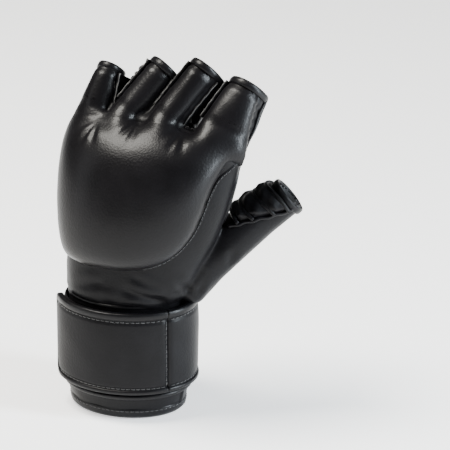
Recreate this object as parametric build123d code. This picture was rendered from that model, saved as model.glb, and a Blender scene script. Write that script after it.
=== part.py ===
"""Open-palm martial arts glove for a left hand, standing on its cuff, in millimetres.

The back of the hand faces -Y, the palm faces +Y, the thumb points to +X and the fingers point up.
The origin is the centre of the wrist opening, in the plane of the cuff's lower edge.
Every leather, foam and lining layer is its own solid. Fingers, thumb and strap tail turn on hinges.
"""

import os
from math import cos, radians, sin

from build123d import *

os.makedirs("parts", exist_ok=True)

# Layers
GAP = 0.15  # between neighbouring layers
LEATHER = 1.7
LINING = 1.1
REACH = 400.0  # longer than the glove, for cutting tools
UPRIGHT = (Align.CENTER, Align.CENTER, Align.MIN)

# Cuff: elliptical tube around the wrist
CUFF_A, CUFF_B = 40.5, 32.5  # outer half axes of the leather
CUFF_LEATHER, CUFF_FOAM, CUFF_LINING = 1.4, 3.2, 1.0
CUFF_TOP = 84.0
HEM = 9.0  # height of the lower edge binding, with the layers standing on it
HEM_PROUD = 1.2
SLIT_HALF = 7.0  # half width of the slit on the palm side
FLAP = 1.5  # tongue behind the slit
FLAP_TURNS = (62.0, 112.0)
LABEL, LABEL_HEIGHTS, LABEL_TURNS = 0.5, (55.0, 75.0), (-112.0, -68.0)

# Wrist strap, wrapped twice
STRAP_LOW, STRAP_HIGH = 22.0, 82.0
STRAP_OUT = 1.9  # from the cuff to the strap
INNER_TURN, OUTER_TURN = 2.0, 3.0  # thickness of each turn
INNER_DROP = 5.0  # the inner turn shows below the outer one
INNER_TURNS = (-260.0, 80.0)
SEAM_ANGLE = -39.0  # stitched seam where the tail starts, towards the thumb
TAIL_END = -166.0  # free end on the little finger side
ANCHOR_END = 165.0
EDGE_BAND = 6.5  # visible height of the strap's edge binding
EDGE_PROUD = 0.8
END_BAND = 4.0  # binding at the free end, in degrees round the wrist
TAPE = 0.6  # hook tape and loop tape
LOOP_TURNS, HOOK_TURNS = (-172.0, -112.0), (-160.0, -126.0)

# Hand body: height, centre x, centre y, half width, half depth
BODY = [
    (78.0, -1.0, 0.0, 42.0, 34.2),
    (95.0, 3.0, 0.0, 45.5, 33.8),
    (115.0, 8.5, 0.0, 50.5, 32.6),
    (140.0, 14.0, 0.0, 55.0, 30.5),
    (165.0, 17.5, 1.5, 57.0, 28.0),
    (190.0, 23.5, 6.0, 59.0, 23.5),
    (206.0, 27.0, 10.0, 60.0, 19.0),
]
BODY_LOW, BODY_HIGH = 84.6, 200.0
TOP_CENTRE, TOP_TILT = Vector(20.0, 0, 195.0), 5.0  # sloping end below the fingers
BAR = 14.0  # width of the band across the palm below the fingers
GUSSET_TOP = 112.0
SIDE_SPLIT = 20.0  # between the panels of the thumb side and the little finger side
PALM_SPLIT = 5.0  # between the panels of the back and of the palm
SEAM = 0.02  # between panels sewn edge to edge

# Knuckle pad: depth in front of the hand, centre x, centre z, half width, half height
PAD = [
    (-4.8, 16.0, 160.0, 62.0, 50.0),
    (10.0, 16.0, 160.5, 66.0, 52.0),
    (26.0, 15.0, 155.0, 60.0, 46.5),
    (38.0, 13.0, 148.5, 50.0, 38.0),
    (46.0, 11.0, 144.0, 37.0, 27.0),
    (50.5, 10.0, 142.0, 17.0, 12.0),
]
PAD_SEAM = (16.0, 160.5, 67.0, 53.0)  # centre x and z, half width and height of the sewn outline
PAD_OUTLINE = [
    (-0.94, -0.94), (-1.0, -0.42), (-0.95, 0.25), (-0.79, 0.81), (-0.36, 0.97),
    (0.06, 1.0), (0.52, 0.97), (0.90, 0.83), (1.0, 0.55), (0.88, 0.13),
    (0.72, -0.25), (0.51, -0.6), (0.26, -0.87), (-0.1, -0.99), (-0.55, -1.0),
]

# Fingers: name, pivot (x, y, z), tube radius, pad height, length beyond the pivot,
# lean towards the thumb and curl towards the palm in degrees
FINGERS = [
    ("little", (-21.5, 11.5, 219.1), 10.4, 14.0, 23.0, 13.0, 30.0),
    ("ring", (4.4, 12.0, 220.0), 11.4, 15.5, 33.5, 32.0, 27.0),
    ("middle", (33.4, 10.8, 217.8), 12.2, 16.0, 36.0, 32.0, 29.0),
    ("index", (70.6, 13.2, 210.5), 13.6, 17.0, 26.0, 22.0, 30.0),
]
STALL_LEATHER, STALL_LINING = 1.2, 0.8
PAD_SKIN = 1.5
PAD_FLOOR = 2.0  # the pad starts this far out of the stall's middle
RIM, RIM_PROUD, RIM_BEYOND = 5.0, 0.6, 2.0  # binding round a finger opening
KNUCKLE_BACK = 7.5  # a finger starts this far below its pivot
KNUCKLE_GAP = 1.2  # kept clear round the end of a finger, which is round about the pivot

# Thumb stall: a tapered tube from the heel of the hand
THUMB_ROOT = Vector(49.0, 9.0, 96.0)
THUMB_TIP = Vector(103.0, 34.0, 153.0)
THUMB_R0, THUMB_R1 = 18.0, 15.0
THUMB_JOINT = 38.0  # distance of the pivot from the root
THUMB_KNUCKLE = 17.8  # radius kept clear round the pivot
THUMB_STALL_START = 36.0
THUMB_BAND_START = 46.0
THUMB_RIM = 3.4
WEB_FACING = Vector(-0.62, 0.35, 0.70)  # out of the thumb, towards the index finger and palm
WEB_SHIFT = 2.0

# Open palm, outline in x and z, and the gap between thumb and index finger, outline in y and z
PALM = [(-24, 179), (-27, 150), (-22, 118), (-8, 92), (8, 92), (30, 112), (52, 136), (90, 150), (90, 164)]
WEB = [(4, 166), (4, 142), (10, 134), (20, 131), (60, 131), (60, 166)]
WEB_FROM = 52.0  # distance from the middle of the hand where the gap starts
EDGE = 3.0  # width of the binding round the open palm
EDGE_OUT, EDGE_IN = 0.7, 0.6  # the binding is this much thicker than the layers


def save(name, shape):
    export_step(shape, f"parts/{name}.step")


def oval(a, b, low, high):
    """Upright elliptical column."""
    return Pos(0, 0, low) * extrude(Ellipse(a, b), high - low)


def oval_ring(a, b, thickness, low, high):
    """Upright elliptical tube with its outer half axes a and b."""
    return oval(a, b, low, high) - oval(a - thickness, b - thickness, low - 1, high + 1)


def wedge(start, end):
    """Column between two directions round the wrist, in degrees from +X."""
    steps = 8
    turns = [radians(start + (end - start) * i / steps) for i in range(steps + 1)]
    rim = [(REACH * cos(t), REACH * sin(t)) for t in turns]
    return Pos(0, 0, -REACH / 2) * extrude(make_face(Polyline((0, 0), *rim, close=True)), REACH)


def slab(low, high):
    return Pos(0, 0, low) * Box(REACH, REACH, high - low, align=UPRIGHT)


def body(grow):
    """Solid hand form, grown outwards, longer than the panels at both ends."""
    return loft([Pos(cx, cy, z) * Ellipse(a + grow, b + grow) for z, cx, cy, a, b in BODY])


def above_hand(drop):
    """Everything above the sloping end of the hand body, lowered by drop."""
    place = Pos(*TOP_CENTRE) * Rot(0, TOP_TILT, 0) * Pos(0, 0, -drop)
    return place * Box(REACH, REACH, REACH, align=UPRIGHT)


def body_layer(outside, inside):
    layer = (body(outside) - body(inside)) & slab(BODY_LOW, BODY_HIGH)
    return layer - above_hand(0.0) - FINGER_ROOM


def prism_y(outline, grow):
    """Column along +Y from the middle of the hand, for cutting the palm side."""
    face = offset(make_face(Polyline(*outline, close=True)), grow + 4.0)
    return Plane.XZ.offset(-REACH) * extrude(face, REACH - 2.0)


def prism_x(outline, grow):
    """Column along +X from beyond the hand's centre, for cutting the thumb side."""
    face = offset(make_face(Polyline(*outline, close=True)), grow)
    return Plane.YZ.offset(WEB_FROM) * extrude(face, REACH)


def open_palm(grow):
    inner = [(x + 4.0 if x < 0 else x - 4.0, z) for x, z in PALM]
    return prism_y(inner, grow) + prism_x(WEB, grow)


def pad_form(inset):
    """Solid form of the knuckle pad, shrunk by inset."""
    sections = []
    for depth, cx, cz, half_w, half_h in PAD:
        points = [(cx + u * (half_w - inset), cz + v * (half_h - inset)) for u, v in PAD_OUTLINE]
        plane = Plane.XZ.offset(depth - (inset if depth > 0 else 0))
        sections.append(plane * make_face(Spline(*points, periodic=True)))
    return loft(sections)


def finger_plane(pivot, lean, curl):
    """Local frame of a finger: z along it, x across the hand, y towards the palm."""
    lean, bend = radians(lean), radians(curl)
    along = Vector(sin(lean) * cos(bend), sin(bend), cos(lean) * cos(bend))
    across = Vector(cos(lean), 0, -sin(lean))
    return Plane(origin=Vector(*pivot), x_dir=across, z_dir=along)


def knuckle_room(pivot, radius, height, lean, curl):
    """Space that a finger needs to turn in."""
    plane = finger_plane(pivot, lean, curl)
    width = 2 * radius + 5.0
    hinge = plane * Rot(0, 90, 0) * Cylinder(height + KNUCKLE_GAP, width)
    ahead = plane * Pos(0, -30, 28) * Box(width, 60 + 2 * radius, 60)
    return hinge + ahead


def round_end(radius):
    """Everything beyond the pivot and a cylinder about it, which can turn in the hand."""
    beyond = Pos(0, 0, REACH / 2) * Box(REACH, REACH, REACH)
    return beyond + Rot(0, 90, 0) * Cylinder(radius, REACH)


def finger_parts(name, pivot, radius, height, length, lean, curl):
    """Pad skin, pad foam, stall leather, stall lining and rim binding of one finger."""
    plane = finger_plane(pivot, lean, curl)
    back, pad_end = -KNUCKLE_BACK, length - RIM + 1.5
    dorsal = Pos(0, -REACH / 2 - PAD_FLOOR) * Rectangle(REACH, REACH)
    tube = Circle(radius + GAP)
    skin = (Ellipse(radius + 0.5, height) - Ellipse(radius - 1.0, height - PAD_SKIN) - tube) & dorsal
    foam_zone = Pos(0, -REACH / 2 - radius * 0.45) * Rectangle(REACH, REACH)
    foam = (Ellipse(radius - 1.0 - GAP, height - PAD_SKIN - GAP) - tube) & foam_zone

    def along_finger(face, end, knuckle):
        return plane * (Pos(0, 0, back) * extrude(face, end - back) & round_end(knuckle))

    def tube_layer(outer, thickness):
        return along_finger(Circle(outer) - Circle(outer - thickness), length, height - 1.0)

    inner = radius - STALL_LEATHER - STALL_LINING - 1.2
    rim = Pos(0, 0, length - RIM + RIM_BEYOND) * extrude(Circle(radius + RIM_PROUD) - Circle(inner), RIM)
    groove = Circle(radius + GAP / 2) - Circle(inner + 1.0)
    rim -= Pos(0, 0, length - 2 * RIM) * extrude(groove, 2 * RIM + GAP)
    save(f"{name}_pad_shell", along_finger(skin, pad_end, height))
    save(f"{name}_pad_foam", along_finger(foam, pad_end - 1.0, height - 1.0))
    save(f"{name}_stall_leather", tube_layer(radius, STALL_LEATHER))
    save(f"{name}_stall_lining", tube_layer(radius - STALL_LEATHER - GAP / 2, STALL_LINING))
    save(f"{name}_rim_binding", plane * rim)


THUMB_AXIS = (THUMB_TIP - THUMB_ROOT).normalized()
THUMB_LENGTH = (THUMB_TIP - THUMB_ROOT).length
THUMB_PLANE = Plane(origin=THUMB_ROOT, z_dir=THUMB_AXIS)
THUMB_PIVOT = THUMB_ROOT + THUMB_AXIS * THUMB_JOINT


def thumb_radius(w):
    return THUMB_R0 + (THUMB_R1 - THUMB_R0) * w / THUMB_LENGTH


def thumb_cone(inset, start, end):
    """Solid cone along the thumb, its surface inset by that much."""
    bottom, top = thumb_radius(start) - inset, thumb_radius(end) - inset
    return THUMB_PLANE * Pos(0, 0, start) * Cone(bottom, top, end - start, align=UPRIGHT)


def thumb_layer(outside, inside, start, end):
    return thumb_cone(outside, start, end) - thumb_cone(inside, start - 1, end + 1)


def web_side(shift):
    """Half space on the side of the thumb that faces the index finger and palm."""
    across = (WEB_FACING - THUMB_AXIS * WEB_FACING.dot(THUMB_AXIS)).normalized()
    plane = Plane(origin=THUMB_ROOT + across * shift, z_dir=across)
    return plane * Box(REACH, REACH, REACH, align=UPRIGHT)


def cuff():
    layers = [
        ("cuff_leather", 0.0, CUFF_LEATHER),
        ("cuff_foam", CUFF_LEATHER + GAP, CUFF_FOAM),
        ("cuff_lining", CUFF_LEATHER + CUFF_FOAM + 2 * GAP, CUFF_LINING),
    ]
    slit = Pos(0, REACH / 2, 0) * Box(2 * SLIT_HALF, REACH, REACH)
    for name, depth, thickness in layers:
        save(name, oval_ring(CUFF_A - depth, CUFF_B - depth, thickness, HEM + GAP, CUFF_TOP) - slit)
    total = CUFF_LEATHER + CUFF_FOAM + CUFF_LINING + 2 * GAP
    hem = oval_ring(CUFF_A + HEM_PROUD, CUFF_B + HEM_PROUD, total + 2 * HEM_PROUD, 0, HEM)
    save("cuff_hem_binding", hem - slit)
    out = GAP + FLAP
    flap = oval_ring(CUFF_A + out, CUFF_B + out, FLAP, HEM + 1.5, CUFF_TOP - 1)
    save("cuff_overlap_flap", flap & wedge(*FLAP_TURNS))
    tag = oval_ring(CUFF_A - total - GAP, CUFF_B - total - GAP, LABEL, *LABEL_HEIGHTS)
    save("inner_label", tag & wedge(*LABEL_TURNS))


def strap():
    """Inner turn, fixed outer turn and the tail that peels off the back of the wrist."""
    low, high = STRAP_LOW, STRAP_HIGH
    wrap = STRAP_OUT + INNER_TURN
    inner_turn = oval_ring(CUFF_A + wrap, CUFF_B + wrap, INNER_TURN, low - INNER_DROP, high - 2)
    save("strap_inner_turn", inner_turn & wedge(*INNER_TURNS))
    wrap += GAP / 2 + TAPE
    loop = oval_ring(CUFF_A + wrap, CUFF_B + wrap, TAPE, low + 8, high - 8)
    save("loop_tape", loop & wedge(*LOOP_TURNS))
    wrap += GAP / 2 + TAPE
    hook = oval_ring(CUFF_A + wrap, CUFF_B + wrap, TAPE, low + 10, high - 10)
    save("hook_tape", hook & wedge(*HOOK_TURNS))
    wrap += GAP / 2 + OUTER_TURN
    turn_a, turn_b = CUFF_A + wrap, CUFF_B + wrap
    band = oval_ring(turn_a, turn_b, OUTER_TURN, low + 1, high - 1)
    proud_a, proud_b = turn_a + EDGE_PROUD, turn_b + EDGE_PROUD
    edges = oval_ring(proud_a, proud_b, OUTER_TURN + 2 * EDGE_PROUD, low, high)
    edges -= oval_ring(turn_a + GAP / 2, turn_b + GAP / 2, OUTER_TURN + GAP, low + 1, high - 1)
    edges -= slab(low + EDGE_BAND, high - EDGE_BAND)
    fixed = wedge(SEAM_ANGLE + 1.0, ANCHOR_END)
    tail_start = TAIL_END + END_BAND
    save("strap_outer_turn", band & fixed)
    save("strap_outer_edging", edges & fixed)
    save("strap_tail", band & wedge(tail_start, SEAM_ANGLE - 1.0))
    save("strap_tail_edging", edges & wedge(tail_start, SEAM_ANGLE - 3.0))
    end_edge = oval_ring(proud_a, proud_b, OUTER_TURN + EDGE_PROUD + 0.4, low, high)
    save("strap_tail_end_binding", end_edge & wedge(TAIL_END, tail_start - 0.2))
    return turn_a, turn_b


def hand():
    """Lining, side panels, gusset, palm bar and bindings of the hand body."""
    passage = thumb_cone(LEATHER + LINING + GAP, -30, THUMB_LENGTH)
    thumb_form = thumb_cone(-GAP, -30, THUMB_LENGTH)
    opened = open_palm(EDGE)
    save("hand_lining", body_layer(-GAP, -GAP - LINING) - opened - passage)
    skin = body_layer(LEATHER, 0.0) - opened - thumb_form
    cx, cz, half_w, half_h = PAD_SEAM
    pad_edge = Spline(*[(cx + half_w * u, cz + half_h * v) for u, v in PAD_OUTLINE], periodic=True)
    pad_zone = Plane.XZ.offset(-PALM_SPLIT) * extrude(make_face(pad_edge), REACH)
    sides = skin - pad_zone
    back = Pos(0, -REACH / 2 + PALM_SPLIT, 0) * Box(REACH, REACH, REACH)
    front = Pos(0, REACH / 2 + PALM_SPLIT + SEAM, 0) * Box(REACH, REACH, REACH)
    right = Pos(SIDE_SPLIT + REACH / 2, 0, 0) * Box(REACH, REACH, REACH)
    left = Pos(SIDE_SPLIT - REACH / 2, 0, 0) * Box(REACH, REACH, REACH)
    save("wrist_gusset", largest(sides & back & slab(0, GUSSET_TOP)))
    save("thumb_side_panel", largest(sides & back & slab(GUSSET_TOP + SEAM, REACH) & right))
    palm_side = sides & front
    save("palm_bar", largest(palm_side & above_hand(BAR)))
    lower = palm_side - above_hand(BAR + SEAM)
    heel = slab(0, GUSSET_TOP - SEAM)
    save("little_side_panel", largest(lower & left & slab(GUSSET_TOP, REACH)))
    save("little_heel_panel", largest(lower & left & heel))
    save("thumb_heel_panel", largest(lower & right & heel))
    edge = body_layer(LEATHER + EDGE_OUT, -GAP - LINING - EDGE_IN) & (opened - open_palm(0.0))
    edge = edge - thumb_form - pad_zone
    save("palm_edge_binding", edge & left)
    save("web_edge_binding", edge & right)


def largest(shape):
    """The biggest solid of a shape that a cut left in several."""
    return max(shape.solids(), key=lambda solid: solid.volume)


def knuckle_pad():
    hand_form = body(GAP)
    top = pad_form(0.0) - hand_form - FINGER_ROOM
    core = pad_form(PAD_SKIN + GAP) - hand_form - FINGER_ROOM
    hollow = pad_form(PAD_SKIN)
    save("knuckle_pad_shell", largest(top - hollow))
    save("knuckle_pad_foam", largest(core))


def thumb():
    """Fixed base panel, then the stall that moves with the thumb."""
    hand_form = body(LEATHER + GAP) & slab(BODY_LOW - 4, REACH)
    ball = Pos(*THUMB_PIVOT) * Sphere(THUMB_KNUCKLE)
    base = thumb_layer(0.0, LEATHER, 2.0, THUMB_JOINT) - hand_form - ball - open_palm(0.0)
    save("thumb_base_panel", largest(base & slab(BODY_LOW, REACH)))
    start, end = THUMB_STALL_START, THUMB_LENGTH
    save("thumb_stall_panel", thumb_layer(0.0, LEATHER, start, end) - web_side(WEB_SHIFT))
    band = thumb_layer(0.0, LEATHER, THUMB_BAND_START, end) & web_side(WEB_SHIFT + SEAM)
    save("thumb_web_band", band)
    inset = LEATHER + GAP
    lining = thumb_layer(inset, inset + LINING, start, end)
    column = THUMB_PLANE * Pos(0, 0, THUMB_BAND_START) * Cylinder(60, REACH, align=UPRIGHT)
    save("thumb_stall_lining", lining - (web_side(WEB_SHIFT) - column))
    outer = thumb_radius(end) + 1.0
    inner = thumb_radius(end) - inset - LINING - 1.0
    rim = THUMB_PLANE * Pos(0, 0, end + GAP) * extrude(Circle(outer) - Circle(inner), THUMB_RIM)
    save("thumb_rim_binding", rim)


FINGER_ROOM = Compound([knuckle_room(*finger[1:4], *finger[5:]) for finger in FINGERS])

cuff()
strap_a, strap_b = strap()
hand()
knuckle_pad()
for finger in FINGERS:
    finger_parts(*finger)
thumb()

print("strap half axes", round(strap_a, 2), round(strap_b, 2))
print("strap hinge", strap_a * cos(radians(SEAM_ANGLE)), strap_b * sin(radians(SEAM_ANGLE)))
print("thumb pivot", THUMB_PIVOT, "axis", THUMB_AXIS)
for name, pivot, _, _, length, lean, curl in FINGERS:
    frame = finger_plane(pivot, lean, curl)
    print(name, "pivot", pivot, "axis", frame.x_dir, "opening", frame.from_local_coords(Vector(0, 0, length)))
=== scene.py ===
"""The visual model of the open-palm glove: leather, padding, bindings, seams and stitches.

Lengths are in millimetres until a mesh is made. The back of the hand faces -Y, the palm +Y, the thumb +X.
"""

from collections import namedtuple
from math import cos, pi, radians, sin, tau

import bmesh
import bpy
import numpy as np
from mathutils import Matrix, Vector
from mathutils.bvhtree import BVHTree


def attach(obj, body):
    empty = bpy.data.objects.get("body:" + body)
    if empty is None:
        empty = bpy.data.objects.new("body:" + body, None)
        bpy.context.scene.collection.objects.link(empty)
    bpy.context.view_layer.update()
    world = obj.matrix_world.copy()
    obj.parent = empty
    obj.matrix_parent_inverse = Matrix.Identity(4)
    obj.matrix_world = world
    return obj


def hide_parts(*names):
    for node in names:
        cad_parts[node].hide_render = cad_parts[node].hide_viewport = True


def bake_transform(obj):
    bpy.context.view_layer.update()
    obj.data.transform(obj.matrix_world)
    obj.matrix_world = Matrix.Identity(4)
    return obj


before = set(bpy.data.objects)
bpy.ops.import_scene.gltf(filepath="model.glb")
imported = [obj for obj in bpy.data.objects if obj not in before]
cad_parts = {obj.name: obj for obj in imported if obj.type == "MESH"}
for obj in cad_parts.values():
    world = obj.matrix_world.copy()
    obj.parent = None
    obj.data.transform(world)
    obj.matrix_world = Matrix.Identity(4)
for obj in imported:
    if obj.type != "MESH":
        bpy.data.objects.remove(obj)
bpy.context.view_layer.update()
MM = 0.001

# Hand form: height, centre x, centre y, half width, half depth
BODY = np.array([
    (78.0, -1.0, 0.0, 42.0, 34.2),
    (95.0, 3.0, 0.0, 45.5, 33.8),
    (115.0, 8.5, 0.0, 50.5, 32.6),
    (140.0, 14.0, 0.0, 55.0, 30.5),
    (165.0, 17.5, 1.5, 57.0, 28.0),
    (190.0, 23.5, 6.0, 59.0, 23.5),
    (206.0, 27.0, 10.0, 60.0, 19.0),
])
BODY_FITS = [np.polyfit(BODY[:, 0] - 140, BODY[:, k], 4) for k in range(1, 5)]

# Bend of the hand towards the palm
CURL = radians(31)
CURL_START, CURL_SPAN = 160.0, 65.0
MID_Y = -4.0

# Cuff and strap, the outer half axes of each layer
CUFF_A, CUFF_B = 41.0, 33.0
STRAP_A, STRAP_B = 48.8, 40.8
STRAP_LOW, STRAP_HIGH = 22.0, 82.0
TAIL_CORNER = 11.0  # how much the rounded end of the strap is cut off at its corners
SEAM_ANGLE, TAIL_END = radians(-39), radians(-166)

# Fingers: base and tip of the pad in hand coordinates (x, s), half widths there,
# radius of the stall and how much slimmer it is at its mouth
Finger = namedtuple("Finger", "base tip half_base half_tip radius taper")
FINGERS = {
    "little": Finger((-22.5, 212.0), (-17.0, 240.0), 11.0, 7.6, 12.4, 3.6),
    "ring": Finger((2.4, 212.5), (21.5, 243.5), 10.2, 9.4, 13.4, 1.6),
    "middle": Finger((29.6, 210.5), (50.5, 245.0), 10.5, 10.4, 14.2, 1.6),
    "index": Finger((69.0, 206.0), (79.5, 236.0), 16.3, 11.6, 16.0, 2.6),
}
KNUCKLE_BLEND = (4.0, 15.0)  # from the hand to the finger, past the finger's base

MADE = {}  # every piece by its name


# ---------------------------------------------------------------- shapes and numbers

def ease(t):
    t = np.clip(t, 0.0, 1.0)
    return t * t * (3 - 2 * t)


def curve_through(points, count, closed=False):
    """A smooth curve through the points, evenly spaced."""
    p = np.array(points, float)
    p = np.vstack([p[-1], p, p[0], p[1]]) if closed else np.vstack([2 * p[0] - p[1], p, 2 * p[-1] - p[-2]])
    steps = np.linspace(0, 1, 24, endpoint=False)[:, None]
    runs = []
    for a, b, c, d in zip(p[:-3], p[1:-2], p[2:-1], p[3:]):
        runs.append(0.5 * (2 * b + (c - a) * steps + (2 * a - 5 * b + 4 * c - d) * steps**2
                           + (3 * b - a - 3 * c + d) * steps**3))
    line = np.vstack(runs if closed else [*runs, p[-2][None]])
    if closed:
        line = np.vstack([line, line[:1]])
    along = np.concatenate([[0], np.cumsum(np.linalg.norm(np.diff(line, axis=0), axis=1))])
    at = np.linspace(0, along[-1], count, endpoint=not closed)
    return np.stack([np.interp(at, along, line[:, k]) for k in range(line.shape[1])], axis=1)


def inside_distance(x, y, outline):
    """Signed distance from a closed outline, negative inside."""
    shape = x.shape
    p = np.stack([x.ravel(), y.ravel()], axis=1)
    best = np.full(len(p), np.inf)
    inside = np.zeros(len(p), bool)
    for a, b in zip(outline, np.roll(outline, -1, axis=0)):
        d = b - a
        t = np.clip(((p - a) @ d) / max(d @ d, 1e-12), 0, 1)
        best = np.minimum(best, ((p - a - t[:, None] * d) ** 2).sum(1))
        rises = (a[1] > p[:, 1]) != (b[1] > p[:, 1])
        with np.errstate(divide="ignore", invalid="ignore"):
            cross = p[:, 0] < (b[0] - a[0]) * (p[:, 1] - a[1]) / (b[1] - a[1]) + a[0]
        inside ^= rises & cross
    return (np.sqrt(best) * np.where(inside, -1, 1)).reshape(shape)


def waves(p, size, seed, rounds=6):
    """Smooth wrinkles, the same each time, from -1 to 1, for points of any dimension."""
    rng = np.random.default_rng(seed)
    total = np.zeros(len(p))
    for _ in range(rounds):
        way = rng.normal(size=p.shape[1])
        way *= tau / (size * rng.uniform(0.7, 1.5) * np.linalg.norm(way))
        total += np.sin(p @ way + rng.uniform(0, tau) + 0.8 * np.sin(p[:, ::-1] @ way * 0.6))
    return total / rounds


def surface_net(field, low, step):
    """A closed mesh of quads where the field changes sign."""
    n = np.array(field.shape)
    cells = n - 1
    total, count = np.zeros((cells.prod(), 3)), np.zeros(cells.prod())
    inside = field < 0
    found = []
    for axis in range(3):
        u, v = (axis + 1) % 3, (axis + 2) % 3
        first, last = [slice(None)] * 3, [slice(None)] * 3
        first[axis], last[axis] = slice(None, -1), slice(1, None)
        a, b = field[tuple(first)], field[tuple(last)]
        at = np.argwhere(inside[tuple(first)] != inside[tuple(last)])
        fa, fb = a[tuple(at.T)], b[tuple(at.T)]
        spot = at.astype(float)
        spot[:, axis] += fa / (fa - fb)
        corners = []
        for du, dv in ((0, 0), (-1, 0), (-1, -1), (0, -1)):
            cell = at.copy()
            cell[:, u] += du
            cell[:, v] += dv
            ok = ((cell >= 0) & (cell < cells)).all(1)
            flat = np.where(ok, np.ravel_multi_index(np.clip(cell, 0, cells - 1).T, cells), -1)
            for k in range(3):
                total[:, k] += np.bincount(flat[ok], spot[ok, k], len(total))
            count += np.bincount(flat[ok], minlength=len(total))
            corners.append(flat)
        quad = np.stack(corners, axis=1)
        quad[fa > 0] = quad[fa > 0][:, ::-1]
        found.append(quad[(quad >= 0).all(1)])
    used = np.flatnonzero(count)
    number = np.full(len(total), -1)
    number[used] = np.arange(len(used))
    verts = total[used] / count[used, None] * step + np.array(low)
    return verts, number[np.vstack(found)]


def relax(verts, quads, rounds):
    """Smooths a mesh without shrinking it."""
    ends = np.vstack([quads[:, [0, 1]], quads[:, [1, 2]], quads[:, [2, 3]], quads[:, [3, 0]]])
    a, b = ends[:, 0], ends[:, 1]
    degree = np.bincount(a, minlength=len(verts)) + np.bincount(b, minlength=len(verts))
    for i in range(2 * rounds):
        mean = np.stack([np.bincount(a, verts[b, k], len(verts)) + np.bincount(b, verts[a, k], len(verts))
                         for k in range(3)], axis=1) / degree[:, None]
        verts = verts + (mean - verts) * (0.5 if i % 2 == 0 else -0.52)
    return verts


def vertex_normals(verts, faces):
    a, b, c, d = (verts[faces[:, k]] for k in (0, 1, 2, 3))
    n = np.cross(c - a, d - b)
    out = np.zeros_like(verts)
    for k in range(4):
        for axis in range(3):
            out[:, axis] += np.bincount(faces[:, k], n[:, axis], len(verts))
    return out / np.maximum(np.linalg.norm(out, axis=1, keepdims=True), 1e-9)


def grid_faces(rows, columns, wrap=False):
    """Quads of a grid whose vertices run along the columns first."""
    r = np.arange(rows - 1)[:, None]
    c = np.arange(columns if wrap else columns - 1)[None]
    c2 = (c + 1) % columns
    return np.stack([r * columns + c, r * columns + c2, (r + 1) * columns + c2, (r + 1) * columns + c],
                    axis=-1).reshape(-1, 4)


def make(name, verts, faces, material):
    """A mesh object from millimetres, kept in MADE."""
    data = bpy.data.meshes.new(f"{name}_look")
    faces = faces.tolist() if isinstance(faces, np.ndarray) else faces
    data.from_pydata((np.asarray(verts, float) * MM).tolist(), [], faces)
    data.validate()
    piece = bpy.data.objects.new(f"{name}_look", data)
    bpy.context.collection.objects.link(piece)
    data.materials.append(material)
    data.polygons.foreach_set("use_smooth", [True] * len(data.polygons))
    data.update()
    MADE[name] = piece
    return piece


def shell(name, outer, faces, thickness, material, rows, columns):
    """A grid surface made thick inwards, closed all round its edges."""
    normals = vertex_normals(outer, faces)
    inner = outer - normals * thickness
    count = len(outer)
    sides = []
    grid = np.arange(count).reshape(rows, columns)
    for loop in (grid[0], grid[-1][::-1], grid[::-1, 0], grid[:, -1]):
        here, ahead = loop[:-1], loop[1:]
        sides.append(np.stack([ahead, here, here + count, ahead + count], axis=1))
    make(name, np.vstack([outer, inner]), np.vstack([faces, faces[:, ::-1] + count, *sides]), material)


def sweep(name, line, material, width, height, ups=None, closed=False, sides=10, power=2.6):
    """A band or tube along a line. ups point out of the surface that it lies on."""
    line = np.asarray(line, float)
    if closed:
        ahead, behind = np.roll(line, -1, axis=0), np.roll(line, 1, axis=0)
    else:
        ahead, behind = np.vstack([line[1:], line[-1:]]), np.vstack([line[:1], line[:-1]])
    along = ahead - behind
    along /= np.linalg.norm(along, axis=1, keepdims=True)
    if ups is None:
        ups = np.tile([0.0, 0.0, 1.0], (len(line), 1))
    ups = ups - along * (ups * along).sum(1, keepdims=True)
    ups /= np.maximum(np.linalg.norm(ups, axis=1, keepdims=True), 1e-9)
    across = np.cross(along, ups)
    turn = np.arange(sides) * tau / sides
    c, s = np.cos(turn), np.sin(turn)
    px = np.sign(c) * np.abs(c) ** (2 / power)
    py = np.sign(s) * np.abs(s) ** (2 / power)
    width = np.broadcast_to(width, len(line))
    height = np.broadcast_to(height, len(line))
    verts = (line[:, None] + across[:, None] * (px[None, :, None] * width[:, None, None] / 2)
             + ups[:, None] * (py[None, :, None] * height[:, None, None] / 2)).reshape(-1, 3)
    rows = len(line)
    faces = grid_faces(rows, sides, wrap=True)
    faces = faces.tolist()
    if closed:
        first, last = np.arange(sides), (rows - 1) * sides + np.arange(sides)
        for k in range(sides):
            j = (k + 1) % sides
            faces.append([int(last[k]), int(last[j]), int(first[j]), int(first[k])])
    else:
        faces.append(list(range(sides))[::-1])
        faces.append([(rows - 1) * sides + k for k in range(sides)])
    make(name, verts, faces, material)


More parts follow.
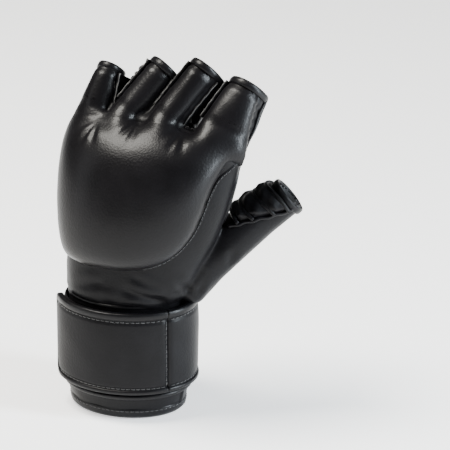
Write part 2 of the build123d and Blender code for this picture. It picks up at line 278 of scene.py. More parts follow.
def stitches(name, line, ups, material, length=2.3, gap=1.1, thick=0.55, closed=False):
    """A row of short threads that dip into the leather at both ends."""
    line = np.asarray(line, float)
    if closed:
        line, ups = np.vstack([line, line[:1]]), np.vstack([ups, ups[:1]])
    along = np.concatenate([[0], np.cumsum(np.linalg.norm(np.diff(line, axis=0), axis=1))])
    count = max(1, int(along[-1] / (length + gap)))
    verts, faces = [], []
    shape = np.linspace(-1, 1, 5)
    for i in range(count):
        start = (i + 0.5) * along[-1] / count
        at = start + shape * length / 2
        mid = np.stack([np.interp(at, along, line[:, k]) for k in range(3)], axis=1)
        up = np.stack([np.interp(at, along, ups[:, k]) for k in range(3)], axis=1)
        up /= np.linalg.norm(up, axis=1, keepdims=True)
        way = mid[-1] - mid[0]
        way /= max(np.linalg.norm(way), 1e-9)
        side = np.cross(way, up)
        rise = (1 - shape**2) * thick * 0.55 - thick * 0.25
        mid = mid + up * rise[:, None]
        base = len(verts)
        for m, u, sd in zip(mid, up, side):
            for k in range(6):
                a = tau * k / 6
                verts.append(m + (sd * cos(a) + u * sin(a)) * thick / 2)
        faces.extend((base + grid_faces(5, 6, wrap=True)).tolist())
        faces.append([base + k for k in range(6)][::-1])
        faces.append([base + 24 + k for k in range(6)])
    make(name, verts, faces, material)


# ---------------------------------------------------------------- materials

def new_material(name):
    """A material with its nodes, links, shader and object coordinates."""
    mat = bpy.data.materials.new(name)
    mat.use_nodes = True
    nodes, links = mat.node_tree.nodes, mat.node_tree.links
    place = nodes.new("ShaderNodeTexCoord").outputs["Object"]
    return mat, nodes, links, nodes["Principled BSDF"], place


def add_bump(nodes, links, shader, height, strength):
    bump = nodes.new("ShaderNodeBump")
    bump.inputs["Strength"].default_value = strength
    bump.inputs["Distance"].default_value = 0.0003
    links.new(height, bump.inputs["Height"])
    links.new(bump.outputs["Normal"], shader.inputs["Normal"])


def leather(name, colour, rough=0.36, grain=900.0, coat=0.1, shine=0.24):
    """Coated leather: fine grain, soft unevenness and slightly duller, lighter worn places."""
    mat, nodes, links, shader, place = new_material(name)

    def noise(scale, detail):
        n = nodes.new("ShaderNodeTexNoise")
        n.inputs["Scale"].default_value = scale
        n.inputs["Detail"].default_value = detail
        links.new(place, n.inputs["Vector"])
        return n

    broad, fine = noise(38.0, 4.0), noise(grain, 2.0)
    cells = nodes.new("ShaderNodeTexVoronoi")
    cells.inputs["Scale"].default_value = grain * 0.75
    links.new(place, cells.inputs["Vector"])
    ramp = nodes.new("ShaderNodeValToRGB")
    for stop, shade, position in zip(ramp.color_ramp.elements, (0.8, 1.28), (0.35, 0.7)):
        stop.color = (*[c * shade for c in colour], 1)
        stop.position = position
    links.new(broad.outputs["Fac"], ramp.inputs["Fac"])
    links.new(ramp.outputs["Color"], shader.inputs["Base Color"])
    dull = nodes.new("ShaderNodeMapRange")
    dull.inputs["To Min"].default_value = rough - 0.05
    dull.inputs["To Max"].default_value = rough + 0.07
    links.new(broad.outputs["Fac"], dull.inputs["Value"])
    links.new(dull.outputs["Result"], shader.inputs["Roughness"])
    height = nodes.new("ShaderNodeMath")
    height.operation = "ADD"
    links.new(cells.outputs["Distance"], height.inputs[0])
    links.new(fine.outputs["Fac"], height.inputs[1])
    add_bump(nodes, links, shader, height.outputs["Value"], 0.25)
    shader.inputs["Specular IOR Level"].default_value = shine
    shader.inputs["Coat Weight"].default_value = coat
    shader.inputs["Coat Roughness"].default_value = 0.2
    return mat


def cloth(name, colour, scale=1400.0, depth=0.6, rough=0.85, sheen=0.3):
    """Knitted or woven fabric with a fine crossed weave."""
    mat, nodes, links, shader, place = new_material(name)
    mix = nodes.new("ShaderNodeMath")
    mix.operation = "MULTIPLY"
    for k, axis in enumerate(("X", "Z")):
        wave = nodes.new("ShaderNodeTexWave")
        wave.bands_direction = axis
        wave.inputs["Scale"].default_value = scale / 3
        wave.inputs["Distortion"].default_value = 1.5
        links.new(place, wave.inputs["Vector"])
        links.new(wave.outputs["Fac"], mix.inputs[k])
    soft = nodes.new("ShaderNodeTexNoise")
    soft.inputs["Scale"].default_value = 60.0
    links.new(place, soft.inputs["Vector"])
    ramp = nodes.new("ShaderNodeValToRGB")
    for stop, shade in zip(ramp.color_ramp.elements, (0.7, 1.3)):
        stop.color = (*[c * shade for c in colour], 1)
    links.new(soft.outputs["Fac"], ramp.inputs["Fac"])
    links.new(ramp.outputs["Color"], shader.inputs["Base Color"])
    add_bump(nodes, links, shader, mix.outputs["Value"], depth)
    shader.inputs["Roughness"].default_value = rough
    shader.inputs["Sheen Weight"].default_value = sheen
    return mat


LEATHER = leather("pad_leather", (0.0034, 0.0031, 0.0037), rough=0.34, coat=0.035, shine=0.12)
PANEL = leather("panel_leather", (0.0042, 0.0040, 0.0046), rough=0.4, grain=800.0, coat=0.02, shine=0.085)
STRAP = leather("strap_leather", (0.0048, 0.0046, 0.0053), rough=0.43, grain=800.0, coat=0.015, shine=0.085)
BINDING = leather("binding_leather", (0.0036, 0.0034, 0.0040), grain=1100.0, coat=0.05, shine=0.12)
LINING = cloth("lining_fabric", (0.012, 0.012, 0.014))
THREAD = cloth("thread", (0.012, 0.012, 0.013), scale=4000.0, rough=0.6)
# painted highlight: a light grey leather for the thin lines that stand in for the glossy highlights along the
# welts
PAINTED_EDGE_HIGHLIGHT = leather("leather_edge", (0.085, 0.085, 0.085), rough=0.42, grain=1500.0, coat=0.0)
LABEL = cloth("label_fabric", (0.5, 0.5, 0.48), scale=2200.0)
HOOKS = cloth("hook_tape_pile", (0.016, 0.016, 0.017), scale=2400.0, depth=1.0, rough=0.6, sheen=0.1)
LOOPS = cloth("loop_tape_pile", (0.02, 0.02, 0.022), scale=900.0, depth=1.0, rough=0.95)


# ---------------------------------------------------------------- the bent hand

TABLE_S = np.arange(80.0, 280.0, 0.25)
TABLE_ANGLE = CURL * ease((TABLE_S - CURL_START) / CURL_SPAN)
TABLE_Y = MID_Y + np.cumsum(np.sin(TABLE_ANGLE)) * 0.25
TABLE_Z = 80.0 + np.cumsum(np.cos(TABLE_ANGLE)) * 0.25


def body_at(z):
    """Centre x, centre y, half width and half depth of the hand form."""
    return [np.polyval(fit, np.asarray(z, float) - 140) for fit in BODY_FITS]


def middle_of_hand(x, s):
    """The bent plane through the middle of the hand: point and direction out of the back."""
    shift = -12.0 * ease((x - 40) / 35)
    angle = np.interp(s - shift, TABLE_S, TABLE_ANGLE)
    y = np.interp(s - shift, TABLE_S, TABLE_Y)
    z = np.interp(s - shift, TABLE_S, TABLE_Z) + shift
    out = np.stack([np.zeros_like(y), -np.cos(angle), np.sin(angle)], axis=-1)
    return np.stack([x, y, z], axis=-1), out


def seat(x, s):
    """How far the pad's seam lies above the middle plane, and how much its wall leans outwards."""
    cx, cy, a, b = body_at(np.clip(s, 80, 206))
    u = np.clip((x - cx) / a, -0.96, 0.96)
    round_part = MID_Y - cy + b * np.sqrt(1 - u * u)
    to_finger = ease((s + 12 * ease((x - 40) / 35) - 186) / 50)
    rise = round_part * (1 - to_finger) + 6.0 * to_finger
    lean = np.arctan2(b * u, a * np.sqrt(1 - u * u)) * (1 - to_finger)
    return rise, lean


def pad_point(x, s, n):
    """From pad coordinates to millimetres: along the hand, across it and out of its back."""
    mid, out = middle_of_hand(x, s)
    rise, lean = seat(x, s)
    side = np.array([1.0, 0.0, 0.0])
    way = out * np.cos(lean)[..., None] + side * np.sin(lean)[..., None]
    return mid + out * rise[..., None] + way * n[..., None]


def finger_way(finger):
    """Base, direction across the plane of the hand and length of a finger."""
    base, tip = np.array(FINGERS[finger].base), np.array(FINGERS[finger].tip)
    length = np.linalg.norm(tip - base)
    return base, (tip - base) / length, length


def beside_finger(finger, along, across):
    """The point (x, s) of the hand's plane that lies along and across from a finger's base."""
    base, way, _ = finger_way(finger)
    side = np.array([way[1], -way[0]])
    return base + along[..., None] * way + across[..., None] * side


def from_finger(finger, x, s):
    """How far points of the hand's plane lie along and across from a finger's base."""
    base, way, _ = finger_way(finger)
    x, s = x - base[0], s - base[1]
    return x * way[0] + s * way[1], x * way[1] - s * way[0]


def finger_place(finger, along, across, n):
    """A point beside a finger: along it, across it and out of its back."""
    along, across, n = np.broadcast_arrays(*(np.asarray(v, float) for v in (along, across, n)))
    flat = beside_finger(finger, along, across)
    mid, out = middle_of_hand(flat[..., 0], flat[..., 1])
    return mid + out * n[..., None]


def pad_half_width(finger, along, least=0.0, most=1.0):
    """Half the width of a finger's pad, which changes evenly from base to tip."""
    shape, (_, _, length) = FINGERS[finger], finger_way(finger)
    return shape.half_base + (shape.half_tip - shape.half_base) * np.clip(along / length, least, most)


def tube_radius(finger, along):
    """Radius of a finger stall, a little slimmer towards its mouth."""
    shape, (_, _, length) = FINGERS[finger], finger_way(finger)
    return shape.radius - shape.taper * ease(along / length)


# ---------------------------------------------------------------- knuckle pad and finger pads

DOME = curve_through([
    (-33, 114), (-18, 112), (2, 112.5), (22, 114), (38, 121), (51, 135), (58, 150), (63, 165), (68, 177),
    (74, 188), (80, 199), (80, 207), (69, 206), (57, 204), (45, 203), (31, 208), (14.5, 206.5), (2, 208),
    (-12, 203), (-22, 209), (-33, 209), (-37.5, 198), (-39, 175), (-38, 148), (-36, 126),
], 200, closed=True)
SLITS = ((-12.0, 204.0), (14.0, 207.5), (45.0, 204.5))  # inner ends of the gaps between the fingers
BED_REACH = 16.5  # how far in from its seam the pad still rises
OVER_RELAX = 1.6


def strip_distance(finger, x, s):
    """Signed distance from a finger's strip, open past its tip, and the distance past its tip."""
    along, across = from_finger(finger, x, s)
    half = pad_half_width(finger, along, -0.5, 1.3)
    return np.maximum(np.abs(across) - half, -along - 18), along - finger_way(finger)[2]


def pad_heights(step):
    """Height of the stuffed leather over the seam line, as a membrane blown up over a soft bed."""
    xs, ss = np.arange(-52, 104, step), np.arange(104, 268, step)
    x, s = np.meshgrid(xs, ss, indexing="ij")
    edge = inside_distance(x, s, DOME)
    for finger in FINGERS:
        edge = np.minimum(edge, strip_distance(finger, x, s)[0])
    inside = edge < 0
    phi = np.zeros_like(x)
    weight = 4.0 / step**2 + 1.0 / BED_REACH**2
    red = (np.add.outer(np.arange(len(xs)), np.arange(len(ss))) % 2).astype(bool)
    for _ in range(500):
        for colour in (red, ~red):
            around = np.zeros_like(phi)
            around[1:-1, 1:-1] = phi[2:, 1:-1] + phi[:-2, 1:-1] + phi[1:-1, 2:] + phi[1:-1, :-2]
            fresh = (around / step**2 + 1.0) / weight
            phi = np.where(inside & colour, phi + OVER_RELAX * (fresh - phi), phi)
    phi = np.maximum(phi, 0)
    height = np.sqrt(2 * phi)
    finger = ease((s + 12 * ease((x - 40) / 35) - 205) / 22)
    height *= 1.06 - 0.06 * finger
    return xs, ss, x, s, edge, height


def pad_details(x, s, height):
    """Folds that run out from the slits, and the crease at each knuckle."""
    for qx, qs in SLITS:
        r = np.hypot(x - qx, s - qs + 1)
        turn = np.arctan2(x - qx, -(s - qs))
        fan = np.cos(turn * 7 + 1.8 * np.sin(2.3 * turn + qx) + qx) * np.exp(-((r - 7.5) / 4.5) ** 2)
        height = height + 0.6 * fan * ease((1.9 - np.abs(turn)) / 0.8)
        height = height - 1.6 * np.exp(-(r / 8.0) ** 2)
    for finger, shape in FINGERS.items():
        along, across = from_finger(finger, x, s)
        across = across / shape.half_base
        dent = np.exp(-((along - 2.2 * across**2) / 3.6) ** 2) * np.exp(-(across / 1.1) ** 4)
        height = height - 0.8 * dent
        past = along - finger_way(finger)[2]
        height = height - 2.2 * ease((past + 7) / 7) * (np.abs(across) < 1.4)
    return height


def pad_floor(x, s):
    """Underside of the pad: just below the seam, and on top of the stalls."""
    floor = np.full_like(x, -1.5)
    for finger, shape in FINGERS.items():
        along, across = from_finger(finger, x, s)
        arch = np.sqrt(np.maximum((shape.radius - 0.8) ** 2 - across**2, 0)) - 1.6 - seat(x, s)[0]
        floor = np.maximum(floor, -1.5 + ease((along - 1) / 6) * (np.maximum(arch, -1.5) + 1.5))
    return floor


def pad_mesh():
    """The whole padded back as one closed form in pad coordinates."""
    step = 1.0
    xs, ss, x, s, edge, height = pad_heights(step)
    height = pad_details(x, s, height)
    tips = np.full_like(x, 1e3)
    for finger in FINGERS:
        strip, past = strip_distance(finger, x, s)
        tips = np.where(strip < 3, np.minimum(tips, -past), tips)
    tips = np.where(tips > 900, 5.0, tips)
    ns = np.arange(-4, 34, step)
    flat = np.maximum(edge, -tips)[:, :, None]
    above = (ns[None, None] - height[:, :, None])
    slope = np.hypot(*np.gradient(height, step))
    above = above / np.sqrt(1 + np.minimum(slope, 3.0) ** 2)[:, :, None]
    floor = pad_floor(x, s)[:, :, None]
    field = np.maximum(np.maximum(above, flat), floor - ns[None, None])
    verts, quads = surface_net(field, (xs[0], ss[0], ns[0]), step)
    return relax(verts, quads, 5), quads


def finger_of(verts):
    """Number of the finger that a pad point belongs to, and how far past the knuckle it is."""
    places = np.array([from_finger(finger, verts[:, 0], verts[:, 1]) for finger in FINGERS])
    nearest = np.argmin(np.abs(places[:, 1]), axis=0)
    return nearest, places[nearest, 0, np.arange(len(verts))]


def build_pads():
    """The dome of the knuckles and the pad of each finger, cut from one form."""
    verts, quads = pad_mesh()
    nearest, along = finger_of(verts)
    verts = pad_point(verts[:, 0], verts[:, 1], verts[:, 2])
    normals = vertex_normals(verts, quads)
    part = np.where(along > KNUCKLE_BLEND[0], nearest, -1)
    quad_part = np.where((part[quads] == part[quads][:, :1]).all(1), part[quads][:, 0], -1)
    for k, name in enumerate(("knuckle", *FINGERS), start=-1):
        mine = quads[quad_part == k]
        used = np.unique(mine)
        number = np.full(len(verts), -1)
        number[used] = np.arange(len(used))
        piece = make(f"{name}_pad", verts[used], number[mine], LEATHER)
        cap_open_ends(piece, normals[used])


def cap_open_ends(piece, normals):
    """Closes the hidden cut faces and keeps the leather's shading across the cut."""
    mesh = bmesh.new()
    mesh.from_mesh(piece.data)
    rim = [e for e in mesh.edges if e.is_boundary]
    caps = bmesh.ops.holes_fill(mesh, edges=rim, sides=0)["faces"]
    bmesh.ops.triangulate(mesh, faces=caps)
    mesh.to_mesh(piece.data)
    mesh.free()
    piece.data.polygons.foreach_set("use_smooth", [True] * len(piece.data.polygons))
    piece.data.normals_split_custom_set_from_vertices([tuple(n) for n in normals])


build_pads()


# ---------------------------------------------------------------- hand, finger and thumb skin

THUMB_LINE = np.array([
    (44, 4, 90), (55, 9, 107), (70, 17.5, 123), (86, 26, 137.5), (101, 34, 149), (108, 37.5, 154),
])
THUMB_RADII = np.array([13.0, 15.0, 15.4, 14.2, 12.8, 12.4])
THUMB_ROOT, THUMB_TIP = np.array((49.0, 9.0, 96.0)), np.array((103.0, 34.0, 153.0))
THUMB_WAY = (THUMB_TIP - THUMB_ROOT) / np.linalg.norm(THUMB_TIP - THUMB_ROOT)
THUMB_LENGTH = np.linalg.norm(THUMB_TIP - THUMB_ROOT)
THUMB_STATIONS = (THUMB_LINE - THUMB_ROOT) @ THUMB_WAY
THUMB_BAND = (48.0, 80.0)  # where the gathered band starts and ends
THUMB_HOOPS = (48.5, 57.0, 68.5, 78.5)
THUMB_WRAP = (-1.5, 1.5, 2.5)  # its edges round the thumb: on the palm, and on the back at either end
THUMB_SPLIT = 27.0  # distance from the root where the stall panel begins
WEB_FACING = np.array((-0.62, 0.35, 0.70))
FINGER_GAP = 0.8
MOUTH_TILT = 0.17

# Edge of the open palm: direction round the hand in degrees and height
OPENING = curve_through([
    (8, 150), (7, 163), (18, 177), (38, 185), (60, 188), (90, 190), (120, 190), (140, 187), (147, 170),
    (145, 150), (138, 125), (120, 100), (90, 90), (66, 99), (52, 114), (37, 127), (19, 136),
], 160, closed=True)


def chain_distance(p, line, radii):
    """Distance to a chain of tapered tubes."""
    best = np.full(p.shape[:-1], 1e3, np.float32)
    for a, b, ra, rb in zip(line[:-1], line[1:], radii[:-1], radii[1:]):
        d = (b - a).astype(np.float32)
        t = np.clip(((p - a.astype(np.float32)) @ d) / (d @ d), 0, 1)
        gap = p - a.astype(np.float32) - t[..., None] * d
        best = np.minimum(best, np.sqrt((gap * gap).sum(-1)) - (ra + (rb - ra) * t))
    return best


def soft_union(a, b, k):
    h = np.clip(0.5 + 0.5 * (b - a) / k, 0, 1)
    return b + (a - b) * h - k * h * (1 - h)


def body_distance(p):
    """Distance to the hand form, rounded off below the fingers."""
    x, y, z = p[..., 0], p[..., 1], p[..., 2]
    cx, cy, a, b = body_at(np.clip(z, 80, 206))
    tuck = 1.6 * ease((88 - z) / 6)
    a, b = a - tuck, b - tuck
    dx, dy = x - cx, y - cy
    r = np.sqrt((dx / a) ** 2 + (dy / b) ** 2)
    slope = np.sqrt((dx / a**2) ** 2 + (dy / b**2) ** 2) / np.maximum(r, 1e-3)
    side = (r - 1) / np.maximum(slope, 1e-3)
    top = (z - (212 - 0.10 * (x - 20) - 0.0045 * (x - 20) ** 2) + 0.35 * y) / 1.06
    return -soft_union(-side, -top, 9.0)


def skin_distance(p):
    """Distance to the whole hand: body, fingers and thumb, and to body and thumb alone."""
    body = body_distance(p)
    tubes = []
    for finger in FINGERS:
        along = np.linspace(-16, finger_way(finger)[2] + 7, 9)
        line = finger_place(finger, along, 0.0, 0.0)
        tubes.append(chain_distance(p, line, tube_radius(finger, along)))
    whole = body
    for k, tube in enumerate(tubes):
        for other in tubes[max(k - 1, 0):k] + tubes[k + 1:k + 2]:
            tube = np.maximum(tube, (tubes[k] - other) / 2 + FINGER_GAP)
        whole = soft_union(whole, tube, 4.0)
    thumb = chain_distance(p, THUMB_LINE, THUMB_RADII)
    return soft_union(whole, thumb, 2.2), body, thumb


def skin_mesh(step, depth):
    """Closed outer surface of the hand, fingers and thumb, sunk by depth."""
    low = np.array([-54.0, -44.0, 74.0])
    axes = [np.arange(low[k], high, step) for k, high in enumerate((128.0, 62.0, 262.0))]
    field = np.empty([len(axis) for axis in axes], np.float32)
    y, z = np.meshgrid(axes[1], axes[2], indexing="ij")
    for i, x in enumerate(axes[0]):
        p = np.stack([np.full_like(y, x), y, z], axis=-1).astype(np.float32)
        field[i] = skin_distance(p)[0] + depth
    verts, quads = surface_net(field, low, step)
    return relax(verts, quads, 4), quads


FOLDS = [  # from, to, half width, depth: soft folds above the strap and at the base of the thumb
    ((-36, -14, 88), (-6, -33, 101), 2.6, 1.3), ((-30, -22, 84), (12, -34, 90), 2.4, 1.2),
    ((6, -34, 98), (40, -22, 86), 2.6, 1.5), ((14, -33, 108), (46, -14, 90), 2.2, 1.2),
    ((-8, -33, 86), (24, -30, 84), 2.2, 0.9), ((40, -22, 104), (50, -4, 88), 2.4, 1.1),
    ((62, -8, 104), (52, -6, 88), 2.0, 0.9), ((-41, 0, 108), (-42, 4, 86), 2.6, 1.0),
    ((-40, 12, 120), (-38, 14, 90), 2.6, 0.9), ((66, 22, 106), (52, 26, 94), 2.6, 1.2),
    ((78, 2, 121), (70, 4, 108), 2.6, 0.8), ((20, 33, 84), (28, 30, 100), 2.4, 0.8),
]


def folded(verts, normals):
    """Presses the soft folds and the side wrinkles of the stalls into the skin."""
    push = np.zeros(len(verts))
    for a, b, width, depth in FOLDS:
        a, b = np.array(a, float), np.array(b, float)
        d = b - a
        t = ((verts - a) @ d) / (d @ d)
        wobble = 1.6 * np.sin(6 * t + a[0])
        gap = np.linalg.norm(verts - a - np.clip(t, 0, 1)[:, None] * d, axis=1) + wobble * 0.4
        fade = ease((1.1 - np.abs(2 * t - 1)) / 0.7)
        bank = 0.5 * np.exp(-((gap - 2.4 * width) / (1.4 * width)) ** 2)
        push -= depth * fade * (np.exp(-(gap / width) ** 2) - bank)
    for k, finger in enumerate(FINGERS):
        for at in (7.5, 13.0, 18.0, 23.5, 28.0):
            if at > finger_way(finger)[2] - 3:
                continue
            for side in (-10.5, 10.5):
                spot = finger_place(finger, at, side, -2.5)
                gap = verts - spot
                along = gap @ (finger_place(finger, at + 1, side, -2.5) - spot)
                along += 1.2 * np.sin(gap[:, 1] * 0.5 + at + k)
                near = np.exp(-((gap**2).sum(1) / 9.5**2))
                push += 0.8 * near * np.cos(np.clip(along / 1.9, -pi, pi))
    return verts + normals * push[:, None]


def beyond(verts, finger):
    """Distance past the mouth of a finger, which slopes towards the palm."""
    length = finger_way(finger)[2]
    axis = finger_place(finger, length, 0.0, 0.0)
    ahead = finger_place(finger, length + 1, 0.0, 0.0) - axis
    out = finger_place(finger, length, 0.0, 1.0) - axis
    gap = verts - axis
    return gap @ ahead - MOUTH_TILT * (gap @ out)


def skin_labels(centres):
    """Names the panel each face belongs to; empty where the glove is open."""
    _, body, thumb = skin_distance(centres[None].astype(np.float32))
    body, thumb = body[0], thumb[0]
    cx, cy, a, b = body_at(np.clip(centres[:, 2], 80, 206))
    turn = np.degrees(np.arctan2((centres[:, 1] - cy) / b, (centres[:, 0] - cx) / a))
    z = centres[:, 2]
    label = np.full(len(centres), "little_side_panel", object)
    palm = centres[:, 1] > cy
    right = centres[:, 0] > 20
    label[palm & right] = "thumb_side_panel"
    label[palm & right & (z < 112)] = "thumb_heel_panel"
    label[palm & ~right & (z < 112)] = "little_heel_panel"
    label[palm & (z > 184 - 0.1 * (centres[:, 0] - 20))] = "palm_bar"
    label[~palm & right] = "thumb_side_panel"
    label[~palm & (z < 112)] = "wrist_gusset"
    open_palm = inside_distance(turn, z, OPENING) < 0
    label[open_palm & (thumb > body - 1.0)] = ""
    w = (centres - THUMB_ROOT) @ THUMB_WAY
    on_thumb = (thumb < body) & (w > -20)
    label[on_thumb] = "thumb_base_panel"
    label[on_thumb & (w > THUMB_SPLIT)] = "thumb_stall_panel"
    label[on_thumb & (w > THUMB_LENGTH + 0.5)] = ""
    gaps = []
    for finger in FINGERS:
        stations = finger_place(finger, np.linspace(2, finger_way(finger)[2] + 6, 7), 0.0, 0.0)
        gaps.append(chain_distance(centres.astype(np.float32), stations, np.zeros(7)))
    nearest = np.argmin(gaps, axis=0)
    for k, finger in enumerate(FINGERS):
        start = finger_place(finger, KNUCKLE_BLEND[0], 0.0, 0.0)
        ahead = finger_place(finger, KNUCKLE_BLEND[0] + 1, 0.0, 0.0) - start
        mine = (nearest == k) & (gaps[k] < FINGERS[finger].radius + 5) & ((centres - start) @ ahead > 0)
        label[mine] = f"{finger}_stall_leather"
        label[mine & (beyond(centres, finger) > 0)] = ""
    label[z < 79.5] = ""
    return label


def clean_faces(quads, label, count):
    """Drops lone faces that hang on by a corner, so each panel has a plain edge."""
    for _ in range(3):
        for name in set(label) - {""}:
            mine = np.flatnonzero(label == name)
            uses = np.bincount(quads[mine].ravel(), minlength=count)
            weak = mine[(uses[quads[mine]] == 1).sum(1) >= 3]
            label[weak] = ""
    return label


def panel(name, verts, quads, normals, thickness, material):
    """A thick closed panel from some faces of a bigger surface, shaded as one with it."""
    used = np.unique(quads)
    number = np.full(len(verts), -1)
    number[used] = np.arange(len(used))
    faces = number[quads]
    outer, n = verts[used], normals[used]
    inner = outer - n * thickness
    count = len(used)
    ends = np.vstack([faces[:, [0, 1]], faces[:, [1, 2]], faces[:, [2, 3]], faces[:, [3, 0]]])
    key = ends[:, 0] * count + ends[:, 1]
    back = ends[:, 1] * count + ends[:, 0]
    rim = ends[~np.isin(key, back)]
    walls = np.stack([rim[:, 1], rim[:, 0], rim[:, 0] + count, rim[:, 1] + count], axis=1)
    piece = make(name, np.vstack([outer, inner]), np.vstack([faces, faces[:, ::-1] + count, walls]), material)
    piece.data.normals_split_custom_set_from_vertices([tuple(v) for v in np.vstack([n, -n])])


def build_skin():
    """The leather panels, and a search tree of their outer surface."""
    verts, quads = skin_mesh(1.25, 0.0)
    verts = folded(verts, vertex_normals(verts, quads))
    normals = vertex_normals(verts, quads)
    label = clean_faces(quads, skin_labels(verts[quads].mean(1)), len(verts))
    for name in sorted(set(label) - {""}):
        panel(name, verts, quads[label == name], normals, 1.4, PANEL)
    return BVHTree.FromPolygons(verts.tolist(), quads.tolist())


def build_lining():
    """The linings, a little inside the leather and made from a coarser net."""
    verts, quads = skin_mesh(2.2, 1.75)
    normals = vertex_normals(verts, quads)
    outside = verts[quads].mean(1) + normals[quads].mean(1)
    label = clean_faces(quads, skin_labels(outside), len(verts))
    for name in sorted(set(label) - {""}):
        stall = "_stall_" in name
        label[label == name] = name.rsplit("_", 1)[0] + "_lining" if stall else "hand_lining"
    for name in sorted(set(label) - {""}):
        panel(name, verts, quads[label == name], normals, 0.9, LINING)


SKIN_TREE = build_skin()
build_lining()


def on_skin(points):
    """The nearest places on the skin, and the directions out of it."""
    places, ups = [], []
    for p in points:
        place, normal, _, _ = SKIN_TREE.find_nearest(Vector(p))
        places.append(np.array(place))
        ups.append(np.array(normal))
    ups = np.array(ups)
    for _ in range(3):
        ups[1:-1] = (ups[:-2] + ups[1:-1] * 2 + ups[2:]) / 4
        ups /= np.linalg.norm(ups, axis=1, keepdims=True)
    return np.array(places), ups


def smooth_line(line, rounds, closed=False):
    for _ in range(rounds):
        if closed:
            line = (np.roll(line, 1, axis=0) + 2 * line + np.roll(line, -1, axis=0)) / 4
        else:
            line[1:-1] = (line[:-2] + 2 * line[1:-1] + line[2:]) / 4
    return line


# ---------------------------------------------------------------- bindings and seams of the hand

def opening_binding():
    """The band sewn round the open palm, in a little finger half and a thumb half."""
    theta, z = np.radians(OPENING[:, 0]), OPENING[:, 1]
    cx, cy, a, b = body_at(z)
    line = np.stack([cx + a * np.cos(theta), cy + b * np.sin(theta), z], axis=1)
    line, ups = on_skin(line)
    line = smooth_line(line, 4, closed=True)
    start = int(np.argmin(np.abs(line[:, 0] - 20) + (line[:, 2] < 150) * 1e3))
    line, ups = np.roll(line, -start, axis=0), np.roll(ups, -start, axis=0)
    middle = 1 + int(np.argmin(np.abs(line[1:, 0] - 20) + (line[1:, 2] > 130) * 1e3))
    count = len(line)
    for name, first, last, width in (("palm_edge_binding", -1, middle + 1, 5.0),
                                     ("web_edge_binding", middle - 1, count + 1, 4.4)):
        pick = np.arange(first, last + 1) % count
        sweep(name, line[pick] - ups[pick] * 0.3, BINDING, width, 3.7, ups[pick])


def finger_trim(finger):
    """Mouth binding and side welts of one finger, each welt with a thin light line of painted highlight along
    its top.
    """
    length = finger_way(finger)[2]
    radius = float(tube_radius(finger, length))
    turn = np.linspace(0, tau, 72, endpoint=False)
    up = np.sin(turn)
    rise = np.where(up > 0, radius + 2.0, radius) * np.abs(up) ** 0.95 * np.sign(up)
    over_pad = ease(up * 2)
    width = radius * (1 - over_pad) + max(FINGERS[finger].half_tip + 0.9, radius - 0.6) * over_pad
    line = finger_place(finger, length - 1.2 + MOUTH_TILT * rise, np.cos(turn) * width, rise)
    ups = line - finger_place(finger, length - 1.2, 0.0, 1.0)
    sweep(f"{finger}_rim_binding", line, BINDING, 5.2, 2.6, ups, closed=True, sides=12)
    names = list(FINGERS)
    for side, word in ((-1, "near"), (1, "far")):
        neighbour = names.index(finger) + side
        if neighbour not in range(len(names)):
            continue
        steps = np.linspace(1.5, length - 2.0, 34)
        edge = side * pad_half_width(finger, steps)
        flat = beside_finger(finger, steps, edge)
        rise = seat(flat[:, 0], flat[:, 1])[0]
        lift = rise + 1.6 + 0.3 * np.sin(steps * 0.8 + side)
        line = finger_place(finger, steps, edge + side * 1.3, lift)
        out = finger_place(finger, steps, edge + side * 1.3, lift + 1) - line
        away = finger_place(finger, steps, edge + side * 2.3, lift) - line
        tilted = out * 0.8 + away * 0.6
        sweep(f"{finger}_{word}_welt", line, BINDING, 1.9, 3.2, tilted)
        # a thin light line of painted highlight along the top of the welt
        sweep(f"{finger}_{word}_welt_edge", line + tilted * 1.5, PAINTED_EDGE_HIGHLIGHT, 0.7, 0.8, out, sides=6)
        fourchette(f"{finger}_{word}_fourchette", finger, side, names[neighbour], steps, flat, rise)


def fourchette(name, finger, side, other, steps, flat, rise):
    """The gathered wall between two fingers, from the pad's edge down to the palm side."""
    along2, across2 = from_finger(other, flat[:, 0], flat[:, 1])
    reach = np.clip((np.abs(across2) - pad_half_width(other, along2)) * 0.5 - 0.7, 0.6, 6.0)
    down = np.linspace(0, 1, 14)
    a, d = np.meshgrid(steps, down, indexing="ij")
    crease = 0.7 * np.sin(a * 1.15 + 2.0 * d + 1.7 * np.sin(a * 0.31)) * np.sin(pi * np.clip(d * 1.2, 0, 1))
    edge = pad_half_width(finger, steps)[:, None]
    across = side * (edge + 0.8 + (reach[:, None] - 0.6) * ease(d * 1.6) + crease)
    n = (rise + 1.2)[:, None] * (1 - d) + -9.0 * d
    points = finger_place(finger, a, across, n).reshape(-1, 3)
    faces = grid_faces(len(steps), len(down))
    if side > 0:
        faces = faces[:, ::-1]
    shell(name, points, faces, 1.0, PANEL, len(steps), len(down))


def dome_seam():
    """Stitched seam along the pad's thumb side."""
    right = DOME[(DOME[:, 0] > 20) & (DOME[:, 1] < 205)]
    right = right[np.argsort(right[:, 1])]
    at = curve_through(right[::6], 90)
    line = pad_point(at[:, 0] + 1.6, at[:, 1] - 0.6, np.full(len(at), 0.6))
    line, ups = on_skin(line)
    line = smooth_line(line, 3)
    sweep("pad_seam_welt", line, PANEL, 2.6, 1.6, ups)
    stitches("pad_seam_stitches", line + ups * 1.0, ups, THREAD)


def side_piping():
    """Double piping from the index finger's mouth down its side into the thumb gap."""
    along, across = np.array((finger_way("index")[2] - 2, 20, 10, 1)), np.array((13.4, 14.3, 15.4, 16.0))
    for name, n, shift in (("index_side_piping", -1.0, 0.0), ("index_side_piping_inner", -5.0, 3.6)):
        upper = finger_place("index", along, across, n)
        lower = [(80, 12 + shift, 189), (74, 9 + shift, 176), (69, 6.5 + shift, 164), (67, 6 + shift, 153)]
        line, ups = on_skin(curve_through(np.vstack([upper, lower]), 80))
        line = smooth_line(line, 12)
        sweep(name, line + ups * 0.3, BINDING, 2.2, 2.6, ups)


# ---------------------------------------------------------------- thumb trim

